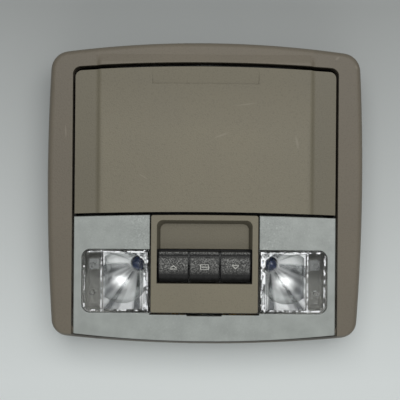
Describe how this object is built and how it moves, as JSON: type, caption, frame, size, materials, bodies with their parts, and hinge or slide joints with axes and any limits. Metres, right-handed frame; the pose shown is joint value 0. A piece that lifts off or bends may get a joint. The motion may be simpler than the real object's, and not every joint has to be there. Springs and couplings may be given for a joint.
{
  "type": "car overhead console",
  "caption": "Roof console of a car: rounded bezel with a swinging sunglass bin, rocker switches in a finger recess, a frosted courtesy lens and press-to-light map lamps.",
  "frame": {"origin": "under the middle of the outline, on the back of the bin housing", "axes": "+X across the car, +Y towards the free end of the bin door, +Z out of the visible face"},
  "size_m": [0.24, 0.229, 0.0478],
  "materials": {
    "taupe_plastic": "fine moulded grain",
    "black_plastic": "plain moulded",
    "rocker_plastic": "fine moulded grain",
    "white_plastic": "plain moulded",
    "frosted_lens": "fine prism frost",
    "clear_lens": "clear, polished",
    "reflector_chrome": "metallised",
    "tinted_glass": "blue tinted",
    "clear_glass": "clear",
    "plated_steel": "zinc plated",
    "brass_strip": "stamped",
    "grey_felt": "felt",
    "black_rubber": "matte",
    "silicone_mat": "matte",
    "board_green": "satin"
  },
  "bodies": {
    "console": {"trim_frame": "taupe_plastic", "switch_plate": "taupe_plastic", "bin_housing": "black_plastic", "switch_housing": "black_plastic", "latch_body": "black_plastic", "switch_connector": "black_plastic", "lamp_connector": "black_plastic", "bulb_socket_left": "black_plastic", "bulb_socket_right": "black_plastic", "map_switch_left": "black_plastic", "map_switch_right": "black_plastic", "lamp_housing": "white_plastic", "diffuser_lens": "frosted_lens", "reflector_left": "reflector_chrome", "reflector_right": "reflector_chrome", "map_bulb_left": "tinted_glass", "map_bulb_right": "tinted_glass", "dome_bulb": "clear_glass", "hinge_pin_left": "plated_steel", "hinge_pin_right": "plated_steel", "rocker_pivot_pin": "plated_steel", "housing_screws": "plated_steel", "lamp_screws": "plated_steel", "plate_screws": "plated_steel", "mounting_clips": "plated_steel", "dome_bulb_contacts": "brass_strip", "lamp_busbar": "brass_strip", "bin_stop_pads": "black_rubber", "dome_mat": "silicone_mat", "switch_board": "board_green"},
    "bin": {"bin_door": "taupe_plastic", "bin_tray": "black_plastic", "bin_liner": "grey_felt", "bin_striker": "black_plastic", "tray_screws": "plated_steel"},
    "rocker_left_body": {"rocker_left": "rocker_plastic"},
    "rocker_middle_body": {"rocker_middle": "rocker_plastic"},
    "rocker_right_body": {"rocker_right": "rocker_plastic"},
    "map_lens_left_body": {"map_lens_left": "clear_lens"},
    "map_lens_right_body": {"map_lens_right": "clear_lens"}
  },
  "joints": [
    {"name": "bin_hinge", "type": "hinge", "parent": "console", "child": "bin", "pos_m": [0, 0.006, 0.04], "axis": [1, 0, 0], "range_deg": [0, 70]},
    {"name": "rocker_left_tilt", "type": "hinge", "parent": "console", "child": "rocker_left_body", "pos_m": [-0.0231, -0.056, 0.0377], "axis": [1, 0, 0], "range_deg": [-6, 6], "stiffness_Nm_per_rad": 0.4},
    {"name": "rocker_middle_tilt", "type": "hinge", "parent": "console", "child": "rocker_middle_body", "pos_m": [0, -0.056, 0.0377], "axis": [1, 0, 0], "range_deg": [-6, 6], "stiffness_Nm_per_rad": 0.4},
    {"name": "rocker_right_tilt", "type": "hinge", "parent": "console", "child": "rocker_right_body", "pos_m": [0.0231, -0.056, 0.0377], "axis": [1, 0, 0], "range_deg": [-6, 6], "stiffness_Nm_per_rad": 0.4},
    {"name": "map_lens_left_press", "type": "hinge", "parent": "console", "child": "map_lens_left_body", "pos_m": [-0.043, -0.0659, 0.041], "axis": [0, -1, 0], "range_deg": [0, 2], "stiffness_Nm_per_rad": 3, "springref_deg": -0.57},
    {"name": "map_lens_right_press", "type": "hinge", "parent": "console", "child": "map_lens_right_body", "pos_m": [0.043, -0.0659, 0.041], "axis": [0, 1, 0], "range_deg": [0, 2], "stiffness_Nm_per_rad": 3, "springref_deg": -0.57}
  ]
}
